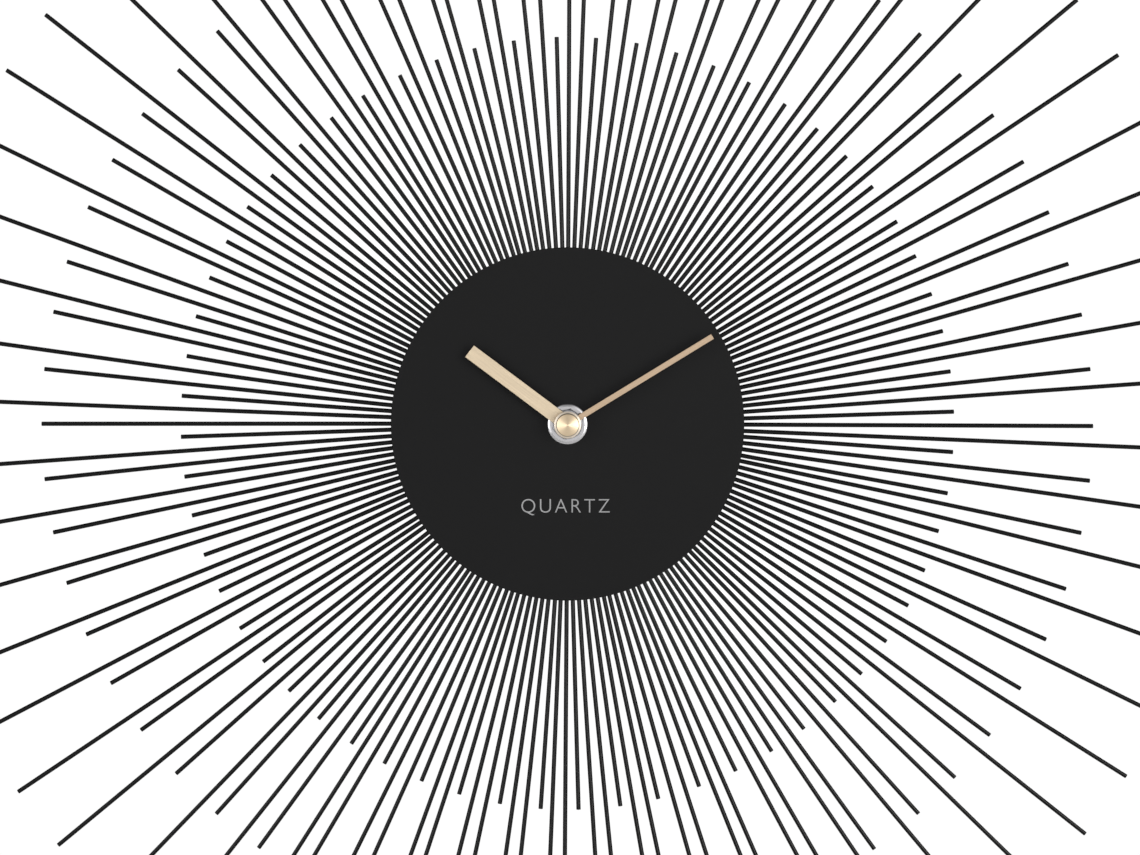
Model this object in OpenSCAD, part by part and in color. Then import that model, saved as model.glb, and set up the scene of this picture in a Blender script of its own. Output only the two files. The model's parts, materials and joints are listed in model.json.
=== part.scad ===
// Sunburst wall clock with a battery quartz movement.
// The hand axis is the Y axis. The face looks towards -Y, the wall is at +Y, and +Z is up.
// The origin is on the hand axis, in the plane of the rays, midway through the clock's depth.

/* [Dial and rays] */
// Radius of the black dial plate
dial_r = 80; // [70:1:86]
// Thickness of the dial plate
dial_t = 1.2; // [0.8:0.1:1.6]
// Diameter of a ray's wire
ray_d = 2; // [1.2:0.1:2]
// Radius to the tip of the short rays
short_r = 175.2; // [150:0.2:190]
// Radius to the tip of the medium rays
medium_r = 238.2; // [200:0.2:260]
// Radius to the tip of the long rays
long_r = 300; // [270:1:340]
// Rays of each length
rays_each = 60; // [36:1:60]
// Radius to the rays' inner ends, under the dial
ray_in_r = 64; // [64:0.5:66]
// Most that a ray strays from its true angle, in degrees
ray_stray = 0.28; // [0:0.01:0.3]
// Turn of the whole sunburst against the dial, in degrees anticlockwise
ray_turn = -0.2; // [-3:0.1:3]

/* [Hands] */
// Length of the hour hand from the hand axis
hour_len = 55.4; // [40:0.2:65]
// Width of the hour hand
hour_w = 6.7; // [4:0.1:9]
// Length of the minute hand from the hand axis
minute_len = 76.6; // [60:0.2:79]
// Width of the minute hand
minute_w = 2.6; // [1.5:0.1:4]
// Where the hour hand points at rest, in degrees from 3 o'clock, anticlockwise
hour_at = 143.2; // [0:0.1:360]
// Where the minute hand points at rest, in degrees from 3 o'clock, anticlockwise
minute_at = 31.4; // [0:0.1:360]

/* [Hub] */
// Radius of the bright washer under the nut
washer_r = 9.1; // [8:0.1:11]
// Width of the nut across its flats
nut_af = 12.7; // [11:0.1:14]
// Radius of the cap nut's brim
cap_r = 6.15; // [5.4:0.05:7]
// Radius of the cap nut's drum
cap_drum_r = 5.1; // [4:0.05:5.2]

/* [Movement] */
// Width and height of the movement's case
case_w = 56; // [55.6:0.1:57]
// Wall of the movement's case
case_wall = 1.2; // [1:0.05:1.25]
// Radius of the battery
cell_r = 7.1; // [6.8:0.05:7.1]
// Radius of the time setting knob
knob_r = 6.5; // [5:0.1:7.5]

/* [Wall fixing] */
// Radius of the round end of the keyhole
keyhole_r = 4.5; // [4:0.1:5]
// Width of the keyhole's slot
keyhole_slot = 4.4; // [3.5:0.1:5]
// Height of the keyhole's round end above the hand axis
keyhole_z = 60; // [59:0.1:61]

/* [Hidden] */
$fn = 96;

ray_r = ray_d / 2;
gap = 0.02;                       // clearance between pieces that touch
dial_back = -ray_r - gap;
dial_front = dial_back - dial_t;
ring_front = ray_r + gap;
ring_t = 1.5;
ring_back = ring_front + ring_t;
ring_in = 43;
ring_out = 74;
stud_at = [45, 135, 225, 315];
stud_pcr = 48.5;
wall_y = 19;                      // plane of the wall
plate_back = 18;                  // back of the hanger's plate
foot_xz = 45.25;                  // lower standoffs, left and right, and down

case_y0 = 0.2;                    // front of the movement
case_yi = case_y0 + case_wall;    // inside of its front wall
case_y1 = 15.8;                   // back of the movement
lid_y = 14.3;                     // where the rear cover starts
cw = case_w / 2;
bay_top = -11.7;                  // top of the battery bay
cell_z = -19.2;
cell_y = 8.6;

// gear train: module and teeth of each pair
m_motion = 0.5;                   // cannon 10, works 30 and 8, hour 32, setting 12
m_third = 10.8 / 34;              // center 60, third pinion 8
m_sec = 0.3;                      // third 64, seconds pinion 8, seconds 60, intermediate pinion 12
m_rotor = 0.22;                   // intermediate 60, rotor pinion 10
works_a = -10;                    // direction of each axis from the one before it
set_a = 45;
third_a = 60;
inter_a = 150;
rotor_a = 110;
function polar(r, a) = [r * cos(a), r * sin(a)];
works_c = polar(20 * m_motion, works_a);
set_c = works_c + polar(21 * m_motion, set_a);
third_c = polar(34 * m_third, third_a);
inter_c = polar(36 * m_sec, inter_a);
rotor_c = inter_c + polar(35 * m_rotor, rotor_a);
bridge_posts = [[-19, 0], [19.5, -6], [-3.6, 17.8]];
board_posts = [[5, 24.4], [23, 18.8]];

coil_z = 22.4;
coil_y = 8.4;

// ---- drawing helpers ----

// Extrudes an X-Z drawing, as seen from the front, from y0 to y1
module plate(y0, y1) {
  translate([0, y1, 0]) rotate([90, 0, 0]) linear_extrude(y1 - y0) children();
}
// A cylinder along Y at an X-Z point
module ycyl(r, y0, y1, c = [0, 0]) {
  plate(y0, y1) translate(c) circle(r);
}
// Turns a profile of [radius, y] points round the Y axis
module rev(pts, c = [0, 0]) {
  translate([c[0], 0, c[1]]) rotate([90, 0, 0]) rotate_extrude() polygon([for (p = pts) [p[0], -p[1]]]);
}
// A rounded rectangle from corner to corner
module rrect(x0, z0, x1, z1, r) {
  if (r > 0) {
    translate([x0 + r, z0]) square([x1 - x0 - 2 * r, z1 - z0]);
    translate([x0, z0 + r]) square([x1 - x0, z1 - z0 - 2 * r]);
    for (x = [x0 + r, x1 - r], z = [z0 + r, z1 - r]) translate([x, z]) circle(r, $fn = 48);
  } else translate([x0, z0]) square([x1 - x0, z1 - z0]);
}
// A hexagon of a given width across its flats, with a corner at angle a
module hexagon(af, a = 0) { rotate(a) circle(af / sqrt(3), $fn = 6); }

// ---- gear teeth ----

function inv_deg(a) = tan(a) * 180 / PI - a;
// Half of a tooth's angle at radius r
function tooth_half(z, m, r, bl) =
  let (rp = m * z / 2, rb = rp * cos(20), p = 90 / z - bl / 2 / rp * 180 / PI)
  r <= rb ? p + inv_deg(20) : p + inv_deg(20) - inv_deg(acos(rb / r));
// Radii along a flank, from the root to the tip
function flank(z, m, add) =
  let (rp = m * z / 2, rb = rp * cos(20), ra = rp + add * m, rr = rp - 1.3 * m, s = max(rr, rb))
  concat(rr < rb ? [rr] : [], [for (k = [0:2]) s + (ra - s) * k / 2]);
function rev_list(v) = [for (i = [len(v) - 1:-1:0]) v[i]];
// An involute gear's outline, tooth 0 centred on angle at
module gear2d(z, m, add, at = 0) {
  bl = 0.08 * m / 0.3;
  f = flank(z, m, add);
  polygon([for (i = [0:z - 1]) each concat(
    [for (r = f) polar(r, at + i * 360 / z - tooth_half(z, m, r, bl))],
    [for (r = rev_list(f)) polar(r, at + i * 360 / z + tooth_half(z, m, r, bl))])]);
}
// The angle of a gear's tooth 0 that puts it in mesh with another, in direction dir from that one
function mesh_at(z_this, z_other, other_at, dir) =
  dir + 180 + 360 / z_this * (0.5 - z_other * (other_at - dir) / 360);
works_at = mesh_at(30, 10, 0, works_a);
set_at = mesh_at(12, 30, works_at, set_a);
hour_wheel_at = mesh_at(32, 8, 0, works_a + 180);
third_pinion_at = mesh_at(8, 60, 0, third_a);
sec_pinion_at = mesh_at(8, 64, 0, third_a + 180);
inter_pinion_at = mesh_at(12, 60, 0, inter_a);
rotor_pinion_at = mesh_at(10, 60, 0, rotor_a);

// A wheel's web: rim, hub and spokes' windows
module windows(n, r0, r1, w, a = 0) {
  for (i = [0:n - 1]) rotate(a + i * 360 / n) intersection() {
    difference() { circle(r1); circle(r0); }
    polygon([[w / 2 / sin(180 / n), 0], [30 * cos(180 / n), 30 * sin(180 / n) - 0], [40, 0], [30 * cos(180 / n), -30 * sin(180 / n)]]);
  }
}

// ---- dial and rays ----

module dial_plate() color([0.03, 0.03, 0.032])
  rev([[4.3, dial_back], [4.3, dial_front], [dial_r - 0.35, dial_front], [dial_r - 0.1, dial_front + 0.1],
       [dial_r, dial_front + 0.35], [dial_r, dial_back - 0.15], [dial_r - 0.15, dial_back]]);

// Welded studs: a collar that spaces the dial from the carrier, and a thread
module dial_studs() color([0.55, 0.55, 0.56])
  for (a = stud_at) rev([[0, dial_back + gap], [3.4, dial_back + gap], [3.4, ring_front - gap], [1.5, ring_front - gap],
    [1.5, 6.7], [1.2, 7], [0, 7]], polar(stud_pcr, a));

module stud_washers() color([0.7, 0.7, 0.71])
  for (a = stud_at) plate(ring_back + gap, ring_back + 0.55) translate(polar(stud_pcr, a)) difference() {
    circle(3.5);
    circle(1.6);
  }

module stud_nuts() color([0.7, 0.7, 0.71])
  for (a = stud_at) plate(ring_back + 0.57, ring_back + 2.97) translate(polar(stud_pcr, a)) difference() {
    hexagon(5.5, a);
    circle(1.52);
  }

module carrier_ring() color([0.04, 0.04, 0.042])
  plate(ring_front, ring_back) difference() {
    circle(ring_out, $fn = 180);
    circle(ring_in, $fn = 180);
    for (a = stud_at) translate(polar(stud_pcr, a)) circle(1.7);
    for (x = [-22, 22]) translate([x, 61]) circle(1.62);
    for (x = [-foot_xz, foot_xz]) translate([x, -foot_xz]) circle(1.5);
  }

// A repeatable scatter between -1 and 1
function scatter(i) = let (s = sin(i * 77.7 + 13) * 437.585) 2 * (s - floor(s)) - 1;
// Rays of one length. Each turns about a point near the carrier, so its tip strays most.
module rays(first, tip_r) {
  step = 360 / rays_each;
  for (i = [0:rays_each - 1]) {
    a = step * (i + first / 3) + ray_turn;
    s = ray_stray * scatter(3 * i + first);
    p = polar(45, a);
    translate([p[0], 0, p[1]]) rotate([0, -(a + s), 0]) translate([ray_in_r - 45, 0, 0])
      rotate([0, 90, 0]) cylinder(r = ray_r, h = tip_r - ray_in_r, $fn = 32);
  }
}
module rays_medium() color([0.03, 0.03, 0.032]) rays(0, medium_r);
module rays_short() color([0.03, 0.03, 0.032]) rays(1, short_r);
module rays_long() color([0.03, 0.03, 0.032]) rays(2, long_r);

// ---- wall fixing ----

module hanger_bracket() color([0.04, 0.04, 0.042]) difference() {
  translate([0, 0, 53]) linear_extrude(17) polygon([
    [-27, ring_back + gap], [-14.5, ring_back + gap], [-14.5, plate_back - 1.5], [14.5, plate_back - 1.5],
    [14.5, ring_back + gap], [27, ring_back + gap], [27, ring_back + 1.5], [16, ring_back + 1.5],
    [16, plate_back], [-16, plate_back], [-16, ring_back + 1.5], [-27, ring_back + 1.5]]);
  for (x = [-28, 16.2]) translate([x, 0, 52]) {
    cube([11.8, 8, 3]);
    translate([0, 0, 15]) cube([11.8, 8, 4]);
  }
  ycyl(keyhole_r, plate_back - 3, plate_back + 1, [0, keyhole_z]);
  plate(plate_back - 3, plate_back + 1) {
    translate([-keyhole_slot / 2, keyhole_z]) square([keyhole_slot, 6.4]);
    translate([0, keyhole_z + 6.4]) circle(keyhole_slot / 2, $fn = 48);
  }
  for (x = [-22, 22]) ycyl(1.62, 0, 6, [x, 61]);
}

module hanger_rivets() color([0.45, 0.45, 0.46])
  for (x = [-22, 22]) rev([[0, ring_front + 0.05], [1.6, ring_front + 0.05], [1.6, ring_back + 1.5 + gap],
    [2.9, ring_back + 1.5 + gap], [2.8, ring_back + 2.1], [2.2, ring_back + 2.6], [1.2, ring_back + 2.9], [0, ring_back + 2.95]], [x, 61]);

module standoffs() color([0.05, 0.05, 0.052])
  for (x = [-foot_xz, foot_xz]) rev([[1.6, ring_back + gap], [6.2, ring_back + gap], [6.2, 4.2], [5.2, 5.2], [5.2, 15.2], [6, 16.2], [6, 17],
    [3.1, 17], [3.1, 12], [1.6, 12]], [x, -foot_xz]);

module standoff_screws() color([0.6, 0.6, 0.61])
  for (x = [-foot_xz, foot_xz]) difference() {
    rev([[0, ring_front + 0.05], [1.47, ring_front + 0.05], [1.47, 12 + gap], [2.8, 12 + gap], [2.8, 13.4], [2.2, 14], [0, 14]], [x, -foot_xz]);
    translate([x, 0, -foot_xz]) for (a = [0, 90]) rotate([0, a, 0]) translate([-1.7, 12.9, -0.3]) cube([3.4, 2, 0.6]);
  }

module wall_pads() color([0.09, 0.09, 0.09]) {
  for (x = [-foot_xz, foot_xz]) ycyl(6, 17 + gap, wall_y, [x, -foot_xz]);
  for (x = [-11, 11]) ycyl(3, plate_back + gap, wall_y, [x, 57.5]);
}

// ---- hub in front of the dial ----

module gasket() color([0.05, 0.05, 0.05])
  plate(dial_back + gap, case_y0 - gap) difference() { circle(11); circle(4.4); }

// Threaded bush of the movement. The thread is drawn as rings at its pitch.
post_top = -6.6;
module threaded_post() color([0.75, 0.62, 0.35])
  rev(concat(
    [[2.75, case_yi - gap], [2.75, post_top + 0.3], [3.0, post_top], [3.6, post_top]],
    [for (k = [0:7]) each [[3.62, post_top + 0.05 + k * 0.72], [3.98, post_top + 0.3 + k * 0.72], [3.98, post_top + 0.4 + k * 0.72], [3.62, post_top + 0.65 + k * 0.72]]],
    [[3.62, case_y0], [5.0, case_y0], [5.0, case_yi - gap]]));

module post_washer() color([0.8, 0.8, 0.82])
  rev([[4.15, dial_front - gap], [4.15, dial_front - 0.8], [washer_r - 1.15, dial_front - 0.8], [washer_r - 0.35, dial_front - 0.56],
       [washer_r, dial_front - 0.3], [washer_r, dial_front - gap]]);

nut_y0 = dial_front - 3.3;
module post_nut() color([0.8, 0.8, 0.82]) difference() {
  intersection() {
    plate(nut_y0, dial_front - 0.82) hexagon(nut_af, 79.6);
    rev([[0, nut_y0], [nut_af / 2 - 0.1, nut_y0], [nut_af / sqrt(3) + 0.05, nut_y0 + 0.5], [nut_af / sqrt(3) + 0.05, dial_front - 0.8], [0, dial_front - 0.8]]);
  }
  rev([[0, nut_y0 - 1], [4.6, nut_y0 - 1], [4.6, nut_y0], [4.02, nut_y0 + 0.6], [4.02, dial_front], [0, dial_front]]);
}

// ---- hands ----

hour_y = -8.9;     // front of the hour hand's blade
minute_y = -12.6;  // front of the minute hand's blade
module hour_hand() color([0.79, 0.66, 0.47]) plate(hour_y, hour_y + 0.6) rotate(hour_at) difference() {
  union() {
    translate([0, -hour_w / 2]) square([hour_len, hour_w]);
    circle(4.9);
  }
  circle(3.42);
}
module hour_bush() color([0.75, 0.62, 0.35])
  rev([[2.62, -7.8], [2.62, -9.9], [3.4, -9.9], [3.4, hour_y + 0.6 + gap], [4.3, hour_y + 0.6 + gap], [4.3, -7.8]]);
module minute_hand() color([0.79, 0.66, 0.47]) plate(minute_y, minute_y + 0.5) rotate(minute_at) difference() {
  union() {
    translate([0, -minute_w / 2]) square([minute_len, minute_w]);
    circle(4.2);
  }
  circle(2.42);
}
module minute_bush() color([0.75, 0.62, 0.35])
  rev([[1.62, -11.4], [1.62, -13.85], [2.4, -13.85], [2.4, minute_y + 0.5 + gap], [3.4, minute_y + 0.5 + gap], [3.4, -11.4]]);
// Cap nut: brim, drum and a turned, slightly coned top
module cap_nut() color([0.8, 0.67, 0.42])
  rev([[1.28, -13.9], [cap_r - 0.15, -13.9], [cap_r, -14.05], [cap_r, -14.75], [cap_r - 0.15, -14.9], [cap_drum_r, -14.9],
       [cap_drum_r, -18.15], [cap_drum_r - 0.25, -18.4], [0, -19], [0, -17.2], [1.28, -16.9]]);

// ---- motion work ----

module hour_wheel() color([0.92, 0.92, 0.9]) {
  difference() {
    union() {
      plate(1.8, 2.8) gear2d(32, m_motion, 0.7, hour_wheel_at);
      ycyl(2.6, -10.2, 2.9);
    }
    ycyl(1.75, -11, 3.5);
  }
}
module works_wheel() color([0.92, 0.92, 0.9]) difference() {
  union() {
    plate(3.3, 4.3) translate(works_c) gear2d(30, m_motion, 0.7, works_at);
    plate(1.6, 3.4) translate(works_c) gear2d(8, m_motion, 0.9, 0);
  }
  ycyl(0.88, 1, 5, works_c);
}
module cannon_pinion() color([0.75, 0.62, 0.35]) difference() {
  union() {
    plate(3.2, 4.4) gear2d(10, m_motion, 0.9, 0);
    rev([[0, 6.3], [1.6, 6.3], [1.6, -13.8], [1.25, -13.8], [1.25, -16.5], [1.1, -16.65], [0, -16.65]]);
  }
  ycyl(0.75, -17, 7);
}
module center_wheel() color([0.92, 0.92, 0.9]) difference() {
  union() {
    plate(5.1, 5.9) difference() {
      gear2d(60, m_third, 0.7, 0);
      windows(4, 3.2, 8, 1.6);
    }
    ycyl(2.3, 4.8, 6.1);
  }
  ycyl(1.62, 4, 7);
}
module setting_arbor() color([0.92, 0.92, 0.9]) {
  plate(3.2, 4.4) translate(set_c) gear2d(12, m_motion, 0.9, set_at);
  rev([[0, 1.7], [0.7, 1.7], [0.7, 3.2], [1.2, 3.2], [1.2, 15.9], [0.9, 15.9], [0.9, 17.4], [0, 17.4]], set_c);
}
module setting_knob() color([0.85, 0.85, 0.83]) difference() {
  plate(16.05, 18.2) translate(set_c) difference() {
    circle(knob_r);
    for (i = [0:35]) rotate(i * 10) translate([knob_r + 0.15, 0]) circle(0.42, $fn = 6);
  }
  rev([[0, 17.45], [0, 15], [0.92, 15], [0.92, 17.45]], set_c);
  rev([[0, 19], [4.2, 19], [3.6, 17.7], [0, 17.7]], set_c);
}

// ---- going train ----

module third_wheel() color([0.92, 0.92, 0.9]) {
  plate(6.6, 7.4) translate(third_c) difference() {
    gear2d(64, m_sec, 0.7, 0);
    windows(4, 2.6, 8, 1.5, 20);
  }
  plate(4.8, 6.7) translate(third_c) gear2d(8, m_third, 0.9, third_pinion_at);
  rev([[0, 3.3], [0.35, 3.3], [0.35, 4.7], [0.6, 4.7], [0.6, 11.1], [0.35, 11.1], [0.35, 12], [0, 12]], third_c);
}
module seconds_wheel() color([0.92, 0.92, 0.9]) {
  plate(8.1, 8.9) difference() {
    gear2d(60, m_sec, 0.7, 0);
    windows(4, 2.6, 7.6, 1.5, 45);
  }
  plate(6.5, 8.2) gear2d(8, m_sec, 0.9, sec_pinion_at);
  rev([[0, -13.8], [0.5, -13.8], [0.5, 11.1], [0.35, 11.1], [0.35, 12], [0, 12]]);
}
module intermediate_wheel() color([0.92, 0.92, 0.9]) {
  plate(9.5, 10.2) translate(inter_c) difference() {
    gear2d(60, m_rotor, 0.7, 0);
    windows(3, 3, 5.4, 1.4, 15);
  }
  plate(7.9, 9.6) translate(inter_c) gear2d(12, m_sec, 0.9, inter_pinion_at);
  rev([[0, 3.3], [0.35, 3.3], [0.35, 4.7], [0.45, 4.7], [0.45, 11.1], [0.35, 11.1], [0.35, 12], [0, 12]], inter_c);
}
module rotor_pinion() color([0.92, 0.92, 0.9]) {
  plate(9.3, 10.5) translate(rotor_c) gear2d(10, m_rotor, 0.9, rotor_pinion_at);
  rev([[0, 3.3], [0.35, 3.3], [0.35, 4.7], [0.6, 4.7], [0.6, 11.1], [0.35, 11.1], [0.35, 12], [0, 12]], rotor_c);
}
module rotor_magnet() color([0.25, 0.25, 0.27]) plate(6.3, 8.5) translate(rotor_c) difference() { circle(2.2); circle(0.63); }

// ---- motor ----

module stator() color([0.62, 0.62, 0.64]) plate(6.9, 7.85) difference() {
  union() {
    translate(rotor_c) circle(5);
    polygon([[-25.5, 24], [-25.5, 13], [-20, 8.6], [-13, 8.6], [-13, 16.4], [-20, 16.4], [-22, 17.6], [-22, 24]]);
    polygon([[-11.6, 9], [-7.4, 9], [-6, 12], [-6, 24], [-9.5, 24], [-9.5, 17.3], [-11.6, 17.3]]);
  }
  translate(rotor_c) circle(2.6);
  for (x = [-23.75, -7.75]) translate([x, coil_z]) circle(0.6);
}
module coil_core() color([0.55, 0.55, 0.57]) plate(7.9, 8.9) difference() {
  translate([-25.5, coil_z - 1.5]) square([19.5, 3]);
  for (x = [-23.75, -7.75]) translate([x, coil_z]) circle(0.6);
}
module x_tube(x0, x1, r) translate([x0, coil_y, coil_z]) rotate([0, 90, 0]) cylinder(r = r, h = x1 - x0);
module core_hole() translate([-24, coil_y - 0.55, coil_z - 1.55]) cube([17, 1.1, 3.1]);
module coil_bobbin() color([0.12, 0.3, 0.2]) difference() {
  union() {
    x_tube(-21.7, -9.8, 2.3);
    for (x = [-21.7, -10.6]) translate([x, coil_y - 4, coil_z - 4]) cube([0.8, 8, 8]);
  }
  core_hole();
}
module coil_winding() color([0.72, 0.36, 0.16]) difference() {
  x_tube(-20.88, -10.62, 3.8);
  x_tube(-22, -9, 2.34);
}

// ---- electronics ----

module circuit_board() color([0.1, 0.35, 0.2]) plate(11.4, 12.4) difference() {
  rrect(3.2, 15.6, 25, 26.3, 0.8);
  for (c = board_posts) translate(c) circle(0.8);
}
module quartz_crystal() color([0.75, 0.75, 0.77])
  translate([11, 10.3, 24]) rotate([0, 90, 0]) rotate_extrude() polygon([[0, 0], [0.9, 0], [1, 0.2], [1, 5.6], [0.8, 6], [0, 6]]);
module chip_cover() color([0.03, 0.03, 0.03])
  rev([[0, 11.38], [2.8, 11.38], [2.5, 10.9], [1.8, 10.5], [0.9, 10.32], [0, 10.28]], [9, 19.6]);
module contact_positive() color([0.75, 0.75, 0.76]) {
  translate([25.45, 0, 0]) {
    translate([0, 4, -23]) cube([0.3, 9, 8]);
    translate([0, 11.2, -15.1]) cube([0.3, 1.8, 33]);
  }
  translate([21, 12.42, 16.1]) cube([4.6, 0.3, 1.4]);
}
module contact_negative() color([0.75, 0.75, 0.76]) {
  translate([0, 0, -22.5]) linear_extrude(7) polygon([[-26.7, 3.6], [-26.4, 3.6], [-26.4, 4.6], [-24.68, 8], [-24.68, 9.2],
    [-26.4, 12.6], [-26.4, 13.7], [-26.7, 13.7], [-26.7, 12.5], [-24.98, 9.12], [-24.98, 8.08], [-26.7, 4.7]]);
  plate(13.4, 13.7) polygon([[-26.7, -16], [-26.45, -16], [-24.6, -10], [-1, 14], [5, 17], [5, 18.6], [3.2, 18.6], [-2.4, 15.2], [-26.7, -8.6]]);
  translate([3.2, 12.42, 17]) cube([1.8, 1.1, 1.6]);
}
module battery() color([0.75, 0.5, 0.2]) translate([0, cell_y, cell_z]) rotate([0, 90, 0]) rotate_extrude() polygon([
  [0, -24.6], [4.6, -24.6], [5, -24.4], [6.6, -24.4], [cell_r, -23.9], [cell_r, 23.7], [6.6, 24.2], [5.4, 24.2], [5, 24.4],
  [2.7, 24.4], [2.7, 25.2], [2.5, 25.4], [0, 25.4]]);

// ---- movement case ----

module case_outline(inset = 0, r = 4) rrect(-cw + inset, -cw + inset, cw - inset, cw - inset, max(r - inset, 0.6));

module case_front() color([0.06, 0.06, 0.062]) difference() {
  union() {
    difference() {
      plate(case_y0, case_y1) case_outline();
      plate(case_yi, case_y1 + 1) case_outline(case_wall);
      // the upper walls stop at the rear cover
      plate(lid_y, case_y1 + 1) translate([-40, bay_top]) square([80, 60]);
    }
    // wall between the battery bay and the wheels
    plate(case_yi - 0.1, lid_y - gap) translate([-24.2, bay_top]) square([49.4, 1]);
    // bosses for the train's front pivots
    for (c = [third_c, inter_c, rotor_c]) ycyl(1.2, case_yi - 0.1, 4.5, c);
    ycyl(1.3, case_yi - 0.1, 3, set_c);
    ycyl(0.8, case_yi - 0.1, 4.7, works_c);
    for (c = bridge_posts) ycyl(1.6, case_yi - 0.1, 11.2 - gap, c);
    for (c = board_posts) rev([[0, case_yi - 0.1], [1.3, case_yi - 0.1], [1.3, 11.38], [0.75, 11.38], [0.75, 12.6], [0, 12.6]], c);
    // ribs that cradle the cell
    for (x = [-16, 16]) translate([x - 0.5, case_yi - 0.1, -26.9]) difference() {
      cube([1, 7, 15.3]);
      translate([-1, cell_y - case_yi + 0.1, cell_z + 26.9]) rotate([0, 90, 0]) cylinder(r = cell_r + 0.15, h = 3);
    }
  }
  ycyl(5.03, -1, 3);
  for (c = [third_c, inter_c, rotor_c]) ycyl(0.4, 3.15, 5, c);
  ycyl(0.75, 1.6, 4, set_c);
  for (c = bridge_posts) ycyl(0.72, 6, 12, c);
}

module case_back() color([0.06, 0.06, 0.062]) difference() {
  union() {
    plate(lid_y + gap, case_y1) intersection() {
      case_outline();
      translate([-40, bay_top + gap]) square([80, 60]);
    }
    // lip that locates the cover inside the walls
    plate(12.9, lid_y + 0.1) difference() {
      intersection() { case_outline(case_wall + 0.05); translate([-24, -10.6]) square([48, 60]); }
      intersection() { case_outline(case_wall + 0.95); translate([-23.1, -9.7]) square([46.2, 60]); }
      translate([20, 12]) square([8, 10]);
      translate([-40, -12]) square([18, 8]);
    }
  }
  ycyl(1.3, 12, 17, set_c);
  // shallow seat round the knob
  rev([[0, case_y1 - 0.3], [7.6, case_y1 - 0.3], [7.6, 17], [0, 17]], set_c);
  // finger notch beside the battery
  plate(lid_y - 3, case_y1 + 1) translate([0, bay_top - 3.5]) circle(7, $fn = 64);
}

module train_bridge() color([0.93, 0.93, 0.9]) plate(11.2, 12.2) difference() {
  polygon([[-21, -2], [-19, -2.5], [0, -3.4], [18.5, -8], [21.4, -7.6], [21.2, -4.4], [9, 10.6], [6, 12.2], [-1, 19.6],
    [-4.6, 19.8], [-8, 16.4], [-14, 16.2], [-15.4, 12], [-20.8, 2]]);
  for (c = [[0, 0], third_c, inter_c, rotor_c]) translate(c) circle(0.4);
  for (c = bridge_posts) translate(c) circle(0.85);
}
module bridge_screws() color([0.7, 0.7, 0.72]) for (c = bridge_posts) difference() {
  rev([[0, 6.6], [0.7, 6.6], [0.7, 12.2 + gap], [1.7, 12.2 + gap], [1.7, 12.8], [1.3, 13.2], [0, 13.2]], c);
  translate([c[0] - 1.1, 12.8, c[1] - 0.2]) cube([2.2, 1, 0.4]);
}

// ---- nodes ----

dial_plate();
dial_studs();
stud_nuts();
stud_washers();
carrier_ring();
rays_short();
rays_medium();
rays_long();
hanger_bracket();
hanger_rivets();
standoffs();
standoff_screws();
wall_pads();
gasket();
threaded_post();
post_washer();
post_nut();
case_front();
case_back();
train_bridge();
bridge_screws();
hour_hand();
hour_bush();
hour_wheel();
minute_hand();
minute_bush();
cannon_pinion();
center_wheel();
cap_nut();
works_wheel();
setting_arbor();
setting_knob();
third_wheel();
seconds_wheel();
intermediate_wheel();
rotor_pinion();
rotor_magnet();
stator();
coil_core();
coil_bobbin();
coil_winding();
circuit_board();
quartz_crystal();
chip_cover();
contact_positive();
contact_negative();
battery();
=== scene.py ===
"""Looks for the sunburst wall clock. Metres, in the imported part's own frame: the face looks towards -Y."""

import json
import math

import bmesh
import bpy
from mathutils import Matrix, Vector


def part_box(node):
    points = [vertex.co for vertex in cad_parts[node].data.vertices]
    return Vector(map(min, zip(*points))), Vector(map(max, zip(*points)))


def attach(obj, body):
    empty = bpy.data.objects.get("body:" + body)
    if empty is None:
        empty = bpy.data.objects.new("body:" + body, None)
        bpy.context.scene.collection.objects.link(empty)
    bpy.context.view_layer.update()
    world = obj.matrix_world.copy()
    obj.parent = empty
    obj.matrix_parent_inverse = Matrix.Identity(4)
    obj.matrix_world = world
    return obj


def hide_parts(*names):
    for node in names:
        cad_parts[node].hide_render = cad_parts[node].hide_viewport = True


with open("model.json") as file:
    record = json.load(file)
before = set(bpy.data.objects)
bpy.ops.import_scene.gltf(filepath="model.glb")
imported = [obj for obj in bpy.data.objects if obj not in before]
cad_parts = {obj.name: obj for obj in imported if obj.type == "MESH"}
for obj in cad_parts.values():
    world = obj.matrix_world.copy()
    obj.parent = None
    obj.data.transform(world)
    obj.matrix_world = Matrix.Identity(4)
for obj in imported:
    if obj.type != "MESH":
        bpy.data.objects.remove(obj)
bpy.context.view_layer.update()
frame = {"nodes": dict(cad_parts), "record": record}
NODES = frame["nodes"]
MM = 0.001
rad = math.radians

# ---------------------------------------------------------------- camera, world, lights

cam_data = bpy.data.cameras.new("camera")
camera = bpy.data.objects.new("camera", cam_data)
bpy.context.scene.collection.objects.link(camera)
bpy.context.scene.camera = camera
AZ, EL, DIST = -0.3, 1.8, 3.0
aim = Vector((1.10, -2.0, -1.53)) * MM
back = Vector((math.sin(rad(AZ)) * math.cos(rad(EL)), -math.cos(rad(AZ)) * math.cos(rad(EL)), math.sin(rad(EL))))
camera.location = aim + back * DIST
camera.rotation_mode = "QUATERNION"
camera.rotation_quaternion = (-back).to_track_quat("-Z", "Y")
cam_data.sensor_width = 36
cam_data.lens = 36 * DIST / 0.51607
cam_data.clip_start, cam_data.clip_end = 0.05, 60

scene = bpy.context.scene
scene.view_settings.view_transform = "Standard"
scene.view_settings.look = "None"

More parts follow.
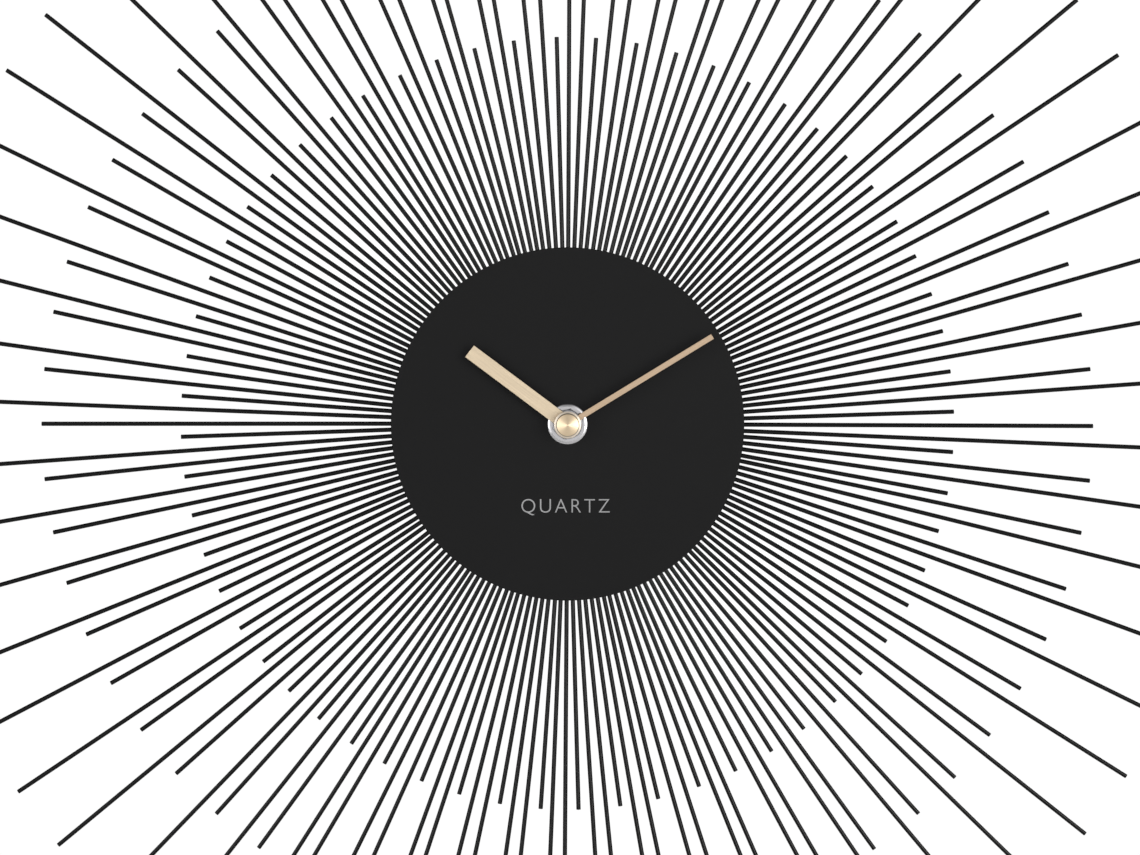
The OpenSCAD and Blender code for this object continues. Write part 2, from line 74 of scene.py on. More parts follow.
world = bpy.data.worlds.new("studio")
scene.world = world
world.use_nodes = True
wt = world.node_tree
wt.nodes.clear()
w_out = wt.nodes.new("ShaderNodeOutputWorld")
w_mix = wt.nodes.new("ShaderNodeMixShader")
w_path = wt.nodes.new("ShaderNodeLightPath")
w_seen = wt.nodes.new("ShaderNodeBackground")
w_lit = wt.nodes.new("ShaderNodeBackground")
w_seen.inputs["Color"].default_value = (1, 1, 1, 1)
w_seen.inputs["Strength"].default_value = 1.02
w_lit.inputs["Strength"].default_value = 1.0
# what lights the clock: bright to the sides and in front, darker overhead, underfoot and behind the clock
w_dir = wt.nodes.new("ShaderNodeTexCoord")
w_xyz = wt.nodes.new("ShaderNodeSeparateXYZ")
wt.links.new(w_dir.outputs["Generated"], w_xyz.inputs[0])


def w_range(value, lo, hi, a, b):
    n = wt.nodes.new("ShaderNodeMapRange")
    n.interpolation_type = "SMOOTHSTEP"
    n.inputs["From Min"].default_value, n.inputs["From Max"].default_value = a, b
    n.inputs["To Min"].default_value, n.inputs["To Max"].default_value = lo, hi
    wt.links.new(value, n.inputs["Value"])
    return n.outputs["Result"]


def w_math(kind, a, b):
    n = wt.nodes.new("ShaderNodeMath")
    n.operation = kind
    for i, v in enumerate((a, b)):
        if isinstance(v, (int, float)):
            n.inputs[i].default_value = v
        else:
            wt.links.new(v, n.inputs[i])
    return n.outputs[0]


w_x, w_z = w_math("ABSOLUTE", w_xyz.outputs["X"], 0), w_math("ABSOLUTE", w_xyz.outputs["Z"], 0)
w_side = w_math("MULTIPLY", w_range(w_x, 0.74, 1.32, 0.05, 0.32), w_range(w_x, 1.0, 0.16, 0.58, 0.88))
w_updown = w_range(w_z, 1.0, 0.14, 0.18, 0.82)
w_behind = w_range(w_xyz.outputs["Y"], 1.0, 0.5, -0.2, 0.25)
w_right = w_range(w_xyz.outputs["X"], 0.92, 1.1, -0.6, 0.6)
w_level = w_math("MULTIPLY", w_math("MULTIPLY", w_side, w_updown), w_math("MULTIPLY", w_behind, w_right))
w_grey = wt.nodes.new("ShaderNodeCombineColor")
for w_i in range(3):
    wt.links.new(w_level, w_grey.inputs[w_i])
wt.links.new(w_grey.outputs[0], w_lit.inputs["Color"])
wt.links.new(w_path.outputs["Is Camera Ray"], w_mix.inputs["Fac"])
wt.links.new(w_lit.outputs[0], w_mix.inputs[1])
wt.links.new(w_seen.outputs[0], w_mix.inputs[2])
wt.links.new(w_mix.outputs[0], w_out.inputs["Surface"])


def softbox(name, place, size, power, colour=(1, 1, 1), look=(0, 0, 0)):
    data = bpy.data.lights.new(name, "AREA")
    data.shape = "RECTANGLE"
    data.size, data.size_y = size
    data.energy = power
    data.color = colour
    ob = bpy.data.objects.new(name, data)
    scene.collection.objects.link(ob)
    ob.location = place
    ob.rotation_mode = "QUATERNION"
    ob.rotation_quaternion = (Vector(look) - Vector(place)).to_track_quat("-Z", "Y")
    ob.visible_camera = False
    return ob


softbox("key_right", (1.05, -1.75, 0.12), (0.5, 0.9), 9, (1, 0.99, 0.97))
softbox("fill_left", (-2.0, -2.4, 0.3), (0.7, 1.6), 14, (0.98, 0.99, 1))
softbox("top_rear", (0.2, 1.5, 2.3), (2.0, 0.9), 26)
softbox("rear_right", (1.9, 2.6, 1.2), (1.6, 1.6), 48)
softbox("rear_left", (-2.2, 2.2, 0.9), (1.6, 1.6), 32)

# ---------------------------------------------------------------- materials

_mats = {}


def nodes_of(name):
    m = bpy.data.materials.new(name)
    m.use_nodes = True
    t = m.node_tree
    return m, t, t.nodes["Principled BSDF"]


def node(t, kind, **values):
    n = t.nodes.new("ShaderNode" + kind)
    for k, v in values.items():
        if hasattr(n, k):
            setattr(n, k, v)
        else:
            n.inputs[k.replace("_", " ")].default_value = v
    return n


def coords(t, scale=(1, 1, 1), turn=(0, 0, 0), shift=(0, 0, 0)):
    c = t.nodes.new("ShaderNodeTexCoord")
    m = t.nodes.new("ShaderNodeMapping")
    m.inputs["Scale"].default_value = scale
    m.inputs["Rotation"].default_value = turn
    m.inputs["Location"].default_value = shift
    t.links.new(c.outputs["Object"], m.inputs["Vector"])
    return m.outputs["Vector"]


def noise(t, vec, scale, detail=3.0, rough=0.55):
    n = t.nodes.new("ShaderNodeTexNoise")
    n.inputs["Scale"].default_value = scale
    n.inputs["Detail"].default_value = detail
    n.inputs["Roughness"].default_value = rough
    t.links.new(vec, n.inputs["Vector"])
    return n.outputs["Fac"]


def remap(t, fac, lo, hi, a=0.3, b=0.7):
    n = t.nodes.new("ShaderNodeMapRange")
    n.inputs["From Min"].default_value = a
    n.inputs["From Max"].default_value = b
    n.inputs["To Min"].default_value = lo
    n.inputs["To Max"].default_value = hi
    t.links.new(fac, n.inputs["Value"])
    return n.outputs["Result"]


def two_tone(t, fac, dark, light, a=0.3, b=0.7):
    n = t.nodes.new("ShaderNodeValToRGB")
    n.color_ramp.elements[0].position = a
    n.color_ramp.elements[1].position = b
    n.color_ramp.elements[0].color = (*dark, 1)
    n.color_ramp.elements[1].color = (*light, 1)
    t.links.new(fac, n.inputs["Fac"])
    return n.outputs["Color"]


def bump(t, height, strength, distance, before=None):
    n = t.nodes.new("ShaderNodeBump")
    n.inputs["Strength"].default_value = strength
    n.inputs["Distance"].default_value = distance
    t.links.new(height, n.inputs["Height"])
    if before is not None:
        t.links.new(before, n.inputs["Normal"])
    return n.outputs["Normal"]


def scaled(c, k):
    return tuple(min(1.0, x * k) for x in c)


def coated(name, colour, rough, grain=900, grain_h=0.000012, patch=0.10, rough_span=0.06, spec=0.5, metallic=0.0):
    """Paint, moulded plastic, rubber: patchy colour and roughness, and a fine grain."""
    m, t, b = nodes_of(name)
    v = coords(t)
    big = noise(t, v, 28, 2)
    fine = noise(t, v, grain, 2.5, 0.6)
    t.links.new(two_tone(t, big, scaled(colour, 1 - patch), scaled(colour, 1 + patch)), b.inputs["Base Color"])
    t.links.new(remap(t, noise(t, v, 75, 3), rough - rough_span, rough + rough_span), b.inputs["Roughness"])
    t.links.new(bump(t, fine, 0.55, grain_h), b.inputs["Normal"])
    b.inputs["Specular IOR Level"].default_value = spec
    b.inputs["Metallic"].default_value = metallic
    return m


def turned(name, colour, rough, aniso=0.7, groove=9000, groove_h=0.0000022, centre=(0, 0), cast=0.07, across=True, shade_ring=None, rim=None):
    """Metal turned round Y: grooves are rings, and the highlight spreads across them. It can also paint a thin ring of
    shade and a paler, lit outer rim into the colour.
    """
    m, t, b = nodes_of(name)
    c = t.nodes.new("ShaderNodeTexCoord")
    off = node(t, "VectorMath", operation="SUBTRACT")
    off.inputs[1].default_value = (centre[0], 0, centre[1])
    flat = node(t, "VectorMath", operation="MULTIPLY")
    flat.inputs[1].default_value = (1, 0, 1)
    length = node(t, "VectorMath", operation="LENGTH")
    t.links.new(c.outputs["Object"], off.inputs[0])
    t.links.new(off.outputs[0], flat.inputs[0])
    t.links.new(flat.outputs[0], length.inputs[0])
    rings = node(t, "TexNoise", noise_dimensions="1D")
    rings.inputs["Scale"].default_value = groove
    rings.inputs["Detail"].default_value = 3
    t.links.new(length.outputs["Value"], rings.inputs["W"])
    patch = noise(t, c.outputs["Object"], 160, 2)
    tint = two_tone(t, rings.outputs["Fac"], scaled(colour, 1 - cast), scaled(colour, 1 + cast))
    # painted highlight: past the given rim radius (mm) the colour turns to the paler rim colour, standing in for the
    # light the cap's brim catches
    if rim:
        outer = remap(t, length.outputs["Value"], 0.0, 1.0, (rim[0] - 0.06) * MM, (rim[0] + 0.06) * MM)
        lit_rim_blend = node(t, "Mix", data_type="RGBA")
        t.links.new(outer, lit_rim_blend.inputs[0])
        t.links.new(tint, lit_rim_blend.inputs[6])
        lit_rim_blend.inputs[7].default_value = (*rim[1], 1)
        tint = lit_rim_blend.outputs[2]
    # painted shade: the colour is darkened in a thin ring given as (radius mm, half-width mm, darkest factor),
    # standing in for the shadow where a raised part meets this face
    if shade_ring:
        away = node(t, "Math", operation="SUBTRACT")
        away.inputs[1].default_value = shade_ring[0] * MM
        t.links.new(length.outputs["Value"], away.inputs[0])
        gap = node(t, "Math", operation="ABSOLUTE")
        t.links.new(away.outputs[0], gap.inputs[0])
        shade_factor = remap(t, gap.outputs[0], shade_ring[2], 1.0, 0.0, shade_ring[1] * MM)
        painted_shade = node(t, "VectorMath", operation="SCALE")
        t.links.new(tint, painted_shade.inputs[0])
        t.links.new(shade_factor, painted_shade.inputs["Scale"])
        tint = painted_shade.outputs[0]
    t.links.new(tint, b.inputs["Base Color"])
    t.links.new(remap(t, patch, rough * 0.86, rough * 1.16), b.inputs["Roughness"])
    t.links.new(bump(t, rings.outputs["Fac"], 0.6, groove_h), b.inputs["Normal"])
    b.inputs["Metallic"].default_value = 1.0
    b.inputs["Anisotropic"].default_value = aniso
    if across:
        b.inputs["Anisotropic Rotation"].default_value = 0.25
    tan = node(t, "Tangent", direction_type="RADIAL", axis="Y")
    t.links.new(tan.outputs["Tangent"], b.inputs["Tangent"])
    return m


def brushed(name, colour, rough, angle, aniso=0.5, streak=0.0000030, cast=0.06):
    """Metal brushed along a direction in the X-Z plane, angle degrees anticlockwise from +X as seen from the front."""
    m, t, b = nodes_of(name)
    turn = coords(t, turn=(0, rad(angle), 0))
    stretch = node(t, "VectorMath", operation="MULTIPLY")
    stretch.inputs[1].default_value = (60, 1500, 5200)
    t.links.new(turn, stretch.inputs[0])
    lines = noise(t, stretch.outputs[0], 1.0, 3, 0.6)
    fine = node(t, "VectorMath", operation="MULTIPLY")
    fine.inputs[1].default_value = (900, 1500, 14000)
    t.links.new(turn, fine.inputs[0])
    hair = noise(t, fine.outputs[0], 1.0, 2, 0.5)
    t.links.new(two_tone(t, lines, scaled(colour, 1 - cast), scaled(colour, 1 + cast)), b.inputs["Base Color"])
    t.links.new(remap(t, lines, rough * 0.85, rough * 1.2), b.inputs["Roughness"])
    t.links.new(bump(t, hair, 0.5, streak, bump(t, lines, 0.5, streak * 1.5)), b.inputs["Normal"])
    b.inputs["Metallic"].default_value = 1.0
    return m


def plain_metal(name, colour, rough, grain=1400, grain_h=0.000003, cast=0.06):
    m = coated(name, colour, rough, grain, grain_h, cast, rough * 0.2, 0.5, 1.0)
    return m


def wound(name, colour, pitch):
    """Fine wire wound round an axis along X."""
    m, t, b = nodes_of(name)
    v = coords(t)
    w = node(t, "TexWave", wave_type="BANDS", bands_direction="X", wave_profile="SIN")
    w.inputs["Scale"].default_value = 0.314 / pitch
    w.inputs["Distortion"].default_value = 0.4
    w.inputs["Detail"].default_value = 1
    t.links.new(v, w.inputs["Vector"])
    # painted shade: the troughs between the wire's turns are coloured darker, down to 0.45 of the colour
    t.links.new(two_tone(t, w.outputs["Fac"], scaled(colour, 0.45), colour, 0.1, 0.8), b.inputs["Base Color"])
    t.links.new(bump(t, w.outputs["Fac"], 0.8, 0.00004), b.inputs["Normal"])
    t.links.new(remap(t, noise(t, v, 900), 0.22, 0.36), b.inputs["Roughness"])
    b.inputs["Metallic"].default_value = 0.85
    return m


def board_material():
    m, t, b = nodes_of("board")
    v = coords(t, scale=(1, 0, 1))
    cells = node(t, "TexBrick")
    cells.inputs["Scale"].default_value = 240
    cells.inputs["Mortar Size"].default_value = 0.035
    cells.inputs["Color1"].default_value = (0.012, 0.10, 0.035, 1)
    cells.inputs["Color2"].default_value = (0.014, 0.12, 0.045, 1)
    cells.inputs["Mortar"].default_value = (0.05, 0.24, 0.09, 1)
    swap = node(t, "Mapping")
    swap.inputs["Rotation"].default_value = (rad(90), 0, 0)
    t.links.new(v, swap.inputs["Vector"])
    t.links.new(swap.outputs["Vector"], cells.inputs["Vector"])
    t.links.new(cells.outputs["Color"], b.inputs["Base Color"])
    t.links.new(remap(t, noise(t, coords(t), 300), 0.28, 0.42), b.inputs["Roughness"])
    t.links.new(bump(t, cells.outputs["Fac"], 0.4, 0.00003), b.inputs["Normal"])
    return m


def cell_material():
    """A plain printed sleeve: bands along X, with a fine ribbed sheen."""
    m, t, b = nodes_of("cell_sleeve")
    c = t.nodes.new("ShaderNodeTexCoord")
    split = node(t, "SeparateXYZ")
    t.links.new(c.outputs["Object"], split.inputs[0])
    ramp = node(t, "ValToRGB")
    ramp.color_ramp.interpolation = "CONSTANT"
    stops = [(0.0, (0.62, 0.63, 0.64)), (0.075, (0.045, 0.19, 0.21)), (0.66, (0.80, 0.79, 0.74)), (0.70, (0.045, 0.19, 0.21)),
             (0.725, (0.80, 0.79, 0.74)), (0.93, (0.62, 0.63, 0.64))]
    els = ramp.color_ramp.elements
    els[0].position, els[0].color = stops[0][0], (*stops[0][1], 1)
    els[1].position, els[1].color = stops[1][0], (*stops[1][1], 1)
    for p, col in stops[2:]:
        e = els.new(p)
        e.color = (*col, 1)
    t.links.new(remap(t, split.outputs["X"], 0, 1, -0.0252, 0.0252), ramp.inputs["Fac"])
    t.links.new(ramp.outputs["Color"], b.inputs["Base Color"])
    t.links.new(remap(t, noise(t, c.outputs["Object"], 220), 0.22, 0.34), b.inputs["Roughness"])
    t.links.new(bump(t, noise(t, coords(t, scale=(1, 6, 6)), 160, 2), 0.3, 0.00002), b.inputs["Normal"])
    b.inputs["Coat Weight"].default_value = 0.4
    b.inputs["Coat Roughness"].default_value = 0.12
    return m


GOLD = (0.83, 0.66, 0.46)
MAT = {
    "black_dial": coated("dial_paint", (0.0040, 0.0040, 0.0043), 0.42, 2600, 0.000006, 0.05, 0.03, 0.17),
    "black_wire": coated("wire_paint", (0.0012, 0.0012, 0.0014), 0.19, 1500, 0.000004, 0.12, 0.03, 0.24),
    "black_steel": coated("steel_paint", (0.012, 0.012, 0.0125), 0.44, 1600, 0.000014, 0.15, 0.06),
    "zinc_steel": plain_metal("zinc", (0.55, 0.56, 0.57), 0.30),
    "soft_rivet": plain_metal("rivet_aluminium", (0.66, 0.66, 0.67), 0.36),
    "black_nylon": coated("nylon", (0.016, 0.016, 0.0165), 0.52, 1300, 0.00002),
    "pad_foam": coated("foam", (0.030, 0.030, 0.031), 0.85, 2400, 0.00009, 0.25, 0.05, 0.3),
    "black_rubber": coated("rubber", (0.014, 0.014, 0.014), 0.7, 1200, 0.00001),
    "brass": turned("brass_turned", (0.66, 0.47, 0.20), 0.28, 0.5),
    # the nickel's dark ring at 6.4 mm is painted shade: it darkens the washer around the nut's edge, where the nut
    # shades it
    "nickel": turned("nickel_turned", (0.68, 0.67, 0.685), 0.12, 0.4, 7000, 0.0000026, cast=0.10, shade_ring=(6.4, 0.42, 0.2)),
    "case_plastic": coated("case_abs", (0.017, 0.017, 0.0175), 0.47, 1700, 0.000026, 0.10, 0.05),
    "bridge_plastic": coated("bridge_acetal", (0.80, 0.79, 0.74), 0.38, 900, 0.000006, 0.03, 0.04),
    "gear_plastic": coated("gear_acetal", (0.82, 0.81, 0.77), 0.34, 900, 0.000004, 0.03, 0.04),
    "hand_metal": brushed("hand_gold", GOLD, 0.30, 0),
    # the cap's dark ring at 5.1 mm is painted shade at the edge of the drum, and its paler rim past 5.2 mm is a
    # painted highlight on the brim
    "cap_brass": turned("cap_brass_turned", (0.88, 0.70, 0.48), 0.34, 0.86, 5200, 0.0000016, shade_ring=(5.1, 0.30, 0.22), rim=(5.2, (0.97, 0.86, 0.72))),
    "magnet": coated("ferrite", (0.035, 0.035, 0.04), 0.5, 1500, 0.00001),
    "lamination": plain_metal("electrical_steel", (0.42, 0.42, 0.44), 0.34),
    "bobbin_plastic": coated("bobbin", (0.02, 0.12, 0.06), 0.42),
    "copper": wound("copper_wire", (0.60, 0.22, 0.08), 0.00011),
    "board": board_material(),
    "crystal_can": plain_metal("can", (0.62, 0.62, 0.64), 0.2),
    "resin": coated("resin_blob", (0.01, 0.01, 0.01), 0.22, 500, 0.00001),
    "contact_steel": plain_metal("contact_nickel", (0.66, 0.66, 0.66), 0.24),
    "cell": cell_material(),
}

SLOT_OF = {s["node"]: s["material_slot"] for s in frame["record"]["subparts"]}


def paint(ob, material):
    ob.data.materials.clear()
    ob.data.materials.append(material)


# ---------------------------------------------------------------- mesh helpers


def piece(name, verts, faces, body, slot, material=None, replaces=(), weighted=True, smooth=True):
    me = bpy.data.meshes.new(name)
    me.from_pydata([tuple(v) for v in verts], [], faces)
    bm = bmesh.new()
    bm.from_mesh(me)
    bmesh.ops.remove_doubles(bm, verts=bm.verts, dist=1e-7)
    bmesh.ops.recalc_face_normals(bm, faces=bm.faces)
    for f in bm.faces:
        f.smooth = smooth
    bm.to_mesh(me)
    bm.free()
    ob = bpy.data.objects.new(name, me)
    scene.collection.objects.link(ob)
    return dress(ob, body, slot, material, replaces, weighted)


def dress(ob, body, slot, material=None, replaces=(), weighted=True):
    paint(ob, material or MAT[slot])
    if weighted:
        w = ob.modifiers.new("normals", "WEIGHTED_NORMAL")
        w.weight = 60
    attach(ob, body)
    if replaces:
        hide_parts(*replaces)
    return ob


def fillet(points, default=0.08, radii=None, n=4, closed=True):
    """Rounds the corners of a 2D outline. radii: index -> radius."""
    out, count = [], len(points)
    for i, p in enumerate(points):
        p = Vector(p)
        r = (radii or {}).get(i, default)
        if (not closed and i in (0, count - 1)) or r <= 0:
            out.append(tuple(p))
            continue
        a, b = Vector(points[i - 1]) - p, Vector(points[(i + 1) % count]) - p
        la, lb = a.length, b.length
        a.normalize()
        b.normalize()
        half = math.acos(max(-1, min(1, a.dot(b)))) / 2
        if half > rad(88.5) or half < rad(2):
            out.append(tuple(p))
            continue
        d = min(r / math.tan(half), la * 0.48, lb * 0.48)
        r = d * math.tan(half)
        centre = p + (a + b).normalized() * (r / math.sin(half))
        s, e = p + a * d - centre, p + b * d - centre
        sweep = s.angle_signed(e)
        for k in range(n + 1):
            out.append(tuple(centre + Matrix.Rotation(-sweep * k / n, 2) @ s))
    return out


def lathe(profile, centre=(0, 0), segs=128, ripple=None):
    """Verts and faces of a closed [radius, y] outline (mm) turned round Y. Points on the axis become one vertex."""
    verts, rings = [], []
    for r, y in profile:
        if r < 1e-6:
            rings.append([len(verts)])
            verts.append(Vector((centre[0], y, centre[1])) * MM)
        else:
            ring = []
            for k in range(segs):
                a = 2 * math.pi * k / segs
                rr = r + (ripple(a, r, y) if ripple else 0)
                ring.append(len(verts))
                verts.append(Vector((centre[0] + rr * math.cos(a), y, centre[1] + rr * math.sin(a))) * MM)
            rings.append(ring)
    faces = []
    on_axis = profile[0][0] < 1e-6 and profile[-1][0] < 1e-6
    pairs = list(zip(rings, rings[1:])) + ([] if on_axis else [(rings[-1], rings[0])])
    for a, b in pairs:
        for k in range(segs):
            q = (k + 1) % segs
            if len(a) == 1 and len(b) == 1:
                continue
            if len(a) == 1:
                faces.append((a[0], b[q], b[k]))
            elif len(b) == 1:
                faces.append((a[k], a[q], b[0]))
            else:
                faces.append((a[k], a[q], b[q], b[k]))
    return verts, faces


def join(parts):
    verts, faces = [], []
    for v, f in parts:
        base = len(verts)
        verts += list(v)
        faces += [tuple(i + base for i in face) for face in f]
    return verts, faces


def sheet_piece(name, loops, y_front, y_back, bevel, body, slot, material=None, replaces=(), steps=2):
    """A flat plate cut to closed X-Z loops (mm), with rolled edges."""
    cu = bpy.data.curves.new(name + "_outline", "CURVE")
    cu.dimensions = "2D"
    cu.fill_mode = "BOTH"
    cu.extrude = (y_back - y_front) / 2 - bevel
    cu.bevel_depth = bevel
    cu.offset = -bevel
    cu.bevel_resolution = steps
    for loop in loops:
        s = cu.splines.new("POLY")
        s.points.add(len(loop) - 1)
        for p, (x, z) in zip(s.points, loop):
            p.co = (x, z, 0, 1)
        s.use_cyclic_u = True
    tmp = bpy.data.objects.new(name + "_tmp", cu)
    scene.collection.objects.link(tmp)
    me = bpy.data.meshes.new_from_object(tmp)
    bpy.data.objects.remove(tmp)
    mid = (y_front + y_back) / 2
    me.transform(Matrix.Scale(MM, 4) @ Matrix.Translation((0, mid, 0)) @ Matrix.Rotation(rad(90), 4, "X"))
    verts = [v.co.copy() for v in me.vertices]
    faces = [tuple(p.vertices) for p in me.polygons]
    bpy.data.meshes.remove(me)
    return piece(name, verts, faces, body, slot, material, replaces)


def circle(r, c=(0, 0), n=96, start=0.0):
    return [(c[0] + r * math.cos(start + 2 * math.pi * k / n), c[1] + r * math.sin(start + 2 * math.pi * k / n)) for k in range(n)]


def turned_loop(points, angle):
    c, s = math.cos(rad(angle)), math.sin(rad(angle))
    return [(x * c - z * s, x * s + z * c) for x, z in points]


# ---------------------------------------------------------------- the rays

RAY_R, RAY_IN, STRAY, TURN = 1.0, 64.0, 0.28, -0.2


def scatter(i):
    s = math.sin(rad(i * 77.7 + 13)) * 437.585
    return 2 * (s - math.floor(s)) - 1


def rays(name, node_name, first, tip_r, segs=20):
    parts = []
    for i in range(60):
        a = 6 * (i + first / 3) + TURN
        s = STRAY * scatter(3 * i + first)
        out = Vector((math.cos(rad(a + s)), 0, math.sin(rad(a + s))))
        side = Vector((-out.z, 0, out.x))
        root = Vector((math.cos(rad(a)), 0, math.sin(rad(a)))) * 45 - out * 45
        length = tip_r - 45 - (RAY_IN - 45) + RAY_IN
        ends = [(RAY_IN, RAY_R - 0.18), (RAY_IN + 0.05, RAY_R - 0.06), (RAY_IN + 0.16, RAY_R), (length - 0.30, RAY_R),
                (length - 0.12, RAY_R - 0.045), (length - 0.03, RAY_R - 0.15), (length, RAY_R - 0.3)]
        verts, faces = [], []
        for along, r in ends:
            for k in range(segs):
                t = 2 * math.pi * k / segs
                verts.append((root + out * along + side * (r * math.cos(t)) + Vector((0, r * math.sin(t), 0))) * MM)
        for j in range(len(ends) - 1):
            for k in range(segs):
                q = (k + 1) % segs
                faces.append((j * segs + k, j * segs + q, (j + 1) * segs + q, (j + 1) * segs + k))
        faces.append(tuple(range(segs)))
        faces.append(tuple((len(ends) - 1) * segs + k for k in range(segs)))
        parts.append((verts, faces))
    v, f = join(parts)
    return piece(name, v, f, "clock", "black_wire", replaces=[node_name])


rays("wires_medium", "rays_medium", 0, 238.2)
rays("wires_short", "rays_short", 1, 175.2)
rays("wires_long", "rays_long", 2, 300.0)

# ---------------------------------------------------------------- dial and hub

DF, DB = (round(c[1] / MM, 3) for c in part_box("dial_plate"))  # the dial's front and back
v, f = lathe(fillet([(4.3, DB), (4.3, DF), (80, DF), (80, DB)], 0.12, {2: 0.32, 3: 0.16}, 5), segs=360)
piece("dial_face", v, f, "clock", "black_dial", replaces=["dial_plate"])

v, f = lathe(fillet([(4.15, DF - 0.02), (4.15, DF - 0.8), (7.95, DF - 0.8), (8.75, DF - 0.56), (9.1, DF - 0.3), (9.1, DF - 0.02)],
                    0.06, {2: 0.3, 3: 0.2, 4: 0.1}, 4), segs=160)
piece("hub_washer", v, f, "clock", "nickel", replaces=["post_washer"])


def hex_nut(af, corner_at, y0, y1, bore, segs_side=16, chamfer=0.5):
    """A nut with turned corners: each point's height follows the chamfer cone. y0 is the top (front), y1 the seat."""
    verts, faces = [], []
    flat = af / 2
    n = 6 * segs_side
    rings = []

    def ring(scale_or_r, y_of, is_hex):
        ids = []
        for k in range(n):
            side, u = divmod(k, segs_side)
            t = u / segs_side
            a0, a1 = rad(corner_at + 60 * side), rad(corner_at + 60 * side + 60)
            x = (1 - t) * math.cos(a0) + t * math.cos(a1)
            z = (1 - t) * math.sin(a0) + t * math.sin(a1)
            ang = math.atan2(z, x)
            hexr = flat / math.sqrt(3) * 2 * math.hypot(x, z)
            r = hexr * scale_or_r if is_hex else scale_or_r
            ids.append(len(verts))
            verts.append(Vector((r * math.cos(ang), y_of(r), r * math.sin(ang))) * MM)
        rings.append(ids)

    corner = flat / math.cos(rad(30))

    def front(r):
        return y0 + max(0.0, (r - (flat - 0.1)) / (corner - flat + 0.1)) * chamfer

    ring(bore, lambda r: y1, False)
    ring(0.99, lambda r: y1, True)
    ring(1.0, lambda r: y1 - 0.08, True)
    ring(1.0, lambda r: front(r) + 0.06, True)
    ring(0.992, lambda r: front(r), True)
    ring(flat - 0.1, lambda r: y0, False)
    ring(4.75, lambda r: y0, False)
    ring(4.6, lambda r: y0 + 0.04, False)
    ring(bore, lambda r: y0 + 0.6, False)
    for a, b in zip(rings, rings[1:] + rings[:1]):
        for k in range(n):
            q = (k + 1) % n
            faces.append((a[k], a[q], b[q], b[k]))
    return verts, faces


v, f = hex_nut(12.7, 79.6, DF - 3.3, DF - 0.82, 4.02)
piece("hub_nut", v, f, "clock", "nickel", replaces=["post_nut"])

thread = [(2.75, 1.38), (2.75, -6.3), (3.0, -6.6), (3.6, -6.6)]
for k in range(8):
    y = -6.6 + k * 0.72
    thread += [(3.62, y + 0.06), (3.95, y + 0.29), (3.98, y + 0.35), (3.95, y + 0.41), (3.62, y + 0.66)]
thread += [(3.62, 0.2), (5.0, 0.2), (5.0, 1.38)]
v, f = lathe(fillet(thread, 0.05, n=2), segs=96)
piece("hub_thread", v, f, "clock", "brass", replaces=["threaded_post"])

# print on the dial: the kind of movement, in the plain built-in face

word = bpy.data.curves.new("print_outline", "FONT")
word.body = "QUARTZ"
word.align_x, word.align_y = "CENTER", "CENTER"
word.size = 8.6
word.space_character = 1.22
word.resolution_u = 6
word.offset = -0.12
word.extrude = 0.008
tmp = bpy.data.objects.new("print_tmp", word)
scene.collection.objects.link(tmp)
bpy.context.view_layer.update()
me = bpy.data.meshes.new_from_object(tmp.evaluated_get(bpy.context.evaluated_depsgraph_get()))
bpy.data.objects.remove(tmp)
xs, ys = [v.co.x for v in me.vertices], [v.co.y for v in me.vertices]
me.transform(Matrix.Translation((-0.9, DF - 0.012, -37.6)) @ Matrix.Rotation(rad(90), 4, "X")
             @ Matrix.Diagonal((40.0 / (max(xs) - min(xs)), 7.4 / (max(ys) - min(ys)), 1, 1))
             @ Matrix.Translation((-(max(xs) + min(xs)) / 2, -(max(ys) + min(ys)) / 2, 0)))
piece("dial_print", [v.co * MM for v in me.vertices], [tuple(q.vertices) for q in me.polygons], "clock", "black_dial",
      coated("print_ink", (0.36, 0.36, 0.365), 0.5, 2600, 0.000004, 0.10, 0.05, 0.3), weighted=False, smooth=False)
bpy.data.meshes.remove(me)

# hands


def hand_loops(length, width, hub_r, bore, angle):
    a = math.asin(width / 2 / hub_r)
    rim = [(hub_r * math.cos(a + (2 * math.pi - 2 * a) * k / 72), hub_r * math.sin(a + (2 * math.pi - 2 * a) * k / 72)) for k in range(73)]
    outer = [(length - 0.06, -width / 2), (length, -width / 2 + 0.06), (length, width / 2 - 0.06), (length - 0.06, width / 2)] + rim
    return [turned_loop(outer, angle), turned_loop(circle(bore), angle)]


# both hands are the same gold metal: the minute hand's darker colour is painted shade, for the dimmer light its
# brushing direction catches
hour_metal = brushed("hour_gold", (0.74, 0.61, 0.44), 0.34, 143.2, cast=0.09)
minute_metal_shaded = brushed("minute_gold_shaded", (0.565, 0.42, 0.29), 0.34, 31.4, cast=0.09)
sheet_piece("hour_blade", hand_loops(55.4, 6.7, 4.9, 3.42, 143.2), -8.9, -8.3, 0.18, "hour", "hand_metal", hour_metal, ["hour_hand"])
sheet_piece("minute_blade", hand_loops(76.6, 2.6, 4.2, 2.42, 31.4), -12.6, -12.1, 0.14, "minute", "hand_metal", minute_metal_shaded, ["minute_hand"])

v, f = lathe(fillet([(2.62, -7.8), (2.62, -9.9), (3.4, -9.9), (3.4, -8.28), (4.3, -8.28), (4.3, -7.8)], 0.07, n=3), segs=96)
piece("hour_collar", v, f, "hour", "brass", replaces=["hour_bush"])
v, f = lathe(fillet([(1.62, -11.4), (1.62, -13.85), (2.4, -13.85), (2.4, -12.08), (3.4, -12.08), (3.4, -11.4)], 0.07, n=3), segs=96)
piece("minute_collar", v, f, "minute", "brass", replaces=["minute_bush"])

